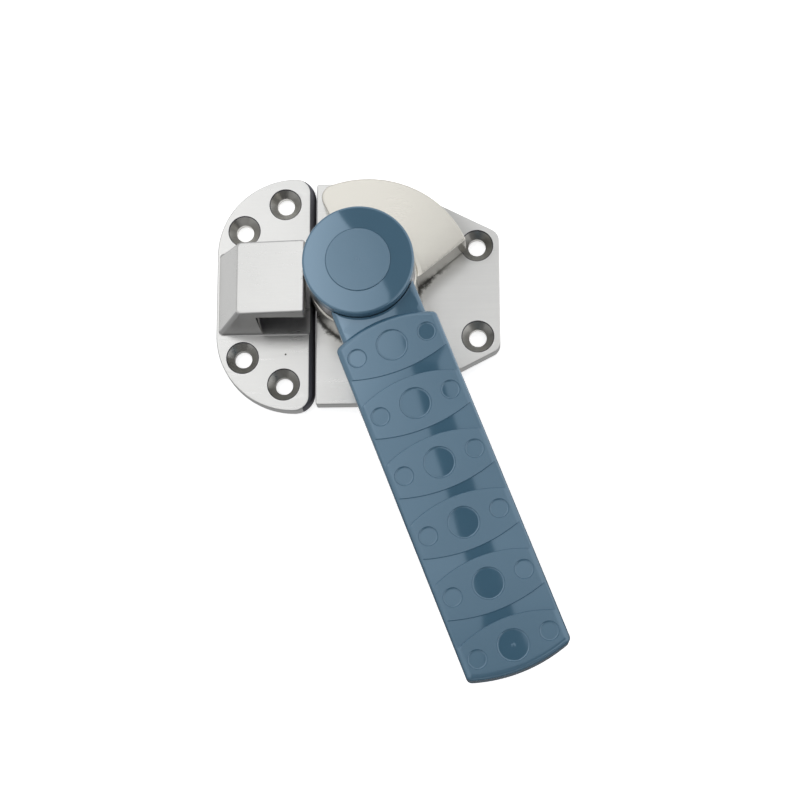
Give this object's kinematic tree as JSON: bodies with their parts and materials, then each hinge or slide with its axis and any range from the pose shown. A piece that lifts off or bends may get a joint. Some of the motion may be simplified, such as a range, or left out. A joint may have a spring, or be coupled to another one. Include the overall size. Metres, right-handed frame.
{
  "type": "oven door latch",
  "caption": "Surface-mounted oven door latch: a long moulded grip turns a wedge cam on a fixed post and draws the door shut under the keeper's hood.",
  "frame": {"origin": "On the post's axis, in the plane of the castings' flat backs, where the latch meets the door.", "axes": "+Z is along the post, out of the door, towards the person who opens it. +X runs from the keeper, across the gap between door and frame, to the far edge of the base plate. +Y is along the gap, up in the picture. The handle rests open, pointing to -Y and a little to +X."},
  "size_m": [0.1362, 0.2044, 0.0523],
  "materials": {
    "cast_steel": "satin investment-cast stainless steel, faintly brushed",
    "polished_steel": "polished cast stainless steel",
    "core_steel": "cast stainless steel",
    "turned_steel": "turned stainless steel",
    "spring_steel": "oiled spring steel",
    "bronze": "sintered bronze",
    "brass": "knurled brass",
    "thrust_plastic": "filled bearing plastic",
    "grip_plastic": "satin glass-filled nylon",
    "rubber": "black silicone"
  },
  "bodies": {
    "mounted": {"base_plate": "cast_steel", "keeper": "cast_steel", "pivot_post": "turned_steel", "stop_pin": "turned_steel", "thrust_washer": "thrust_plastic", "top_washer": "bronze", "disc_springs": "spring_steel", "retaining_washer": "turned_steel", "lock_washer": "spring_steel", "retaining_screw": "turned_steel"},
    "handle": {"cam": "polished_steel", "lower_bush": "bronze", "upper_bush": "bronze", "drive_dowels": "turned_steel", "handle_core": "core_steel", "grip_front": "grip_plastic", "grip_back": "grip_plastic", "grip_inserts": "brass", "grip_screws": "turned_steel", "hub_cap": "grip_plastic", "cap_ring": "rubber", "hub_plug": "grip_plastic"}
  },
  "joints": [
    {"name": "handle_turn", "type": "hinge", "parent": "mounted", "child": "handle", "pos_m": [0, 0, 0], "axis": [0, 0, 1], "range_deg": [0, 135]}
  ]
}
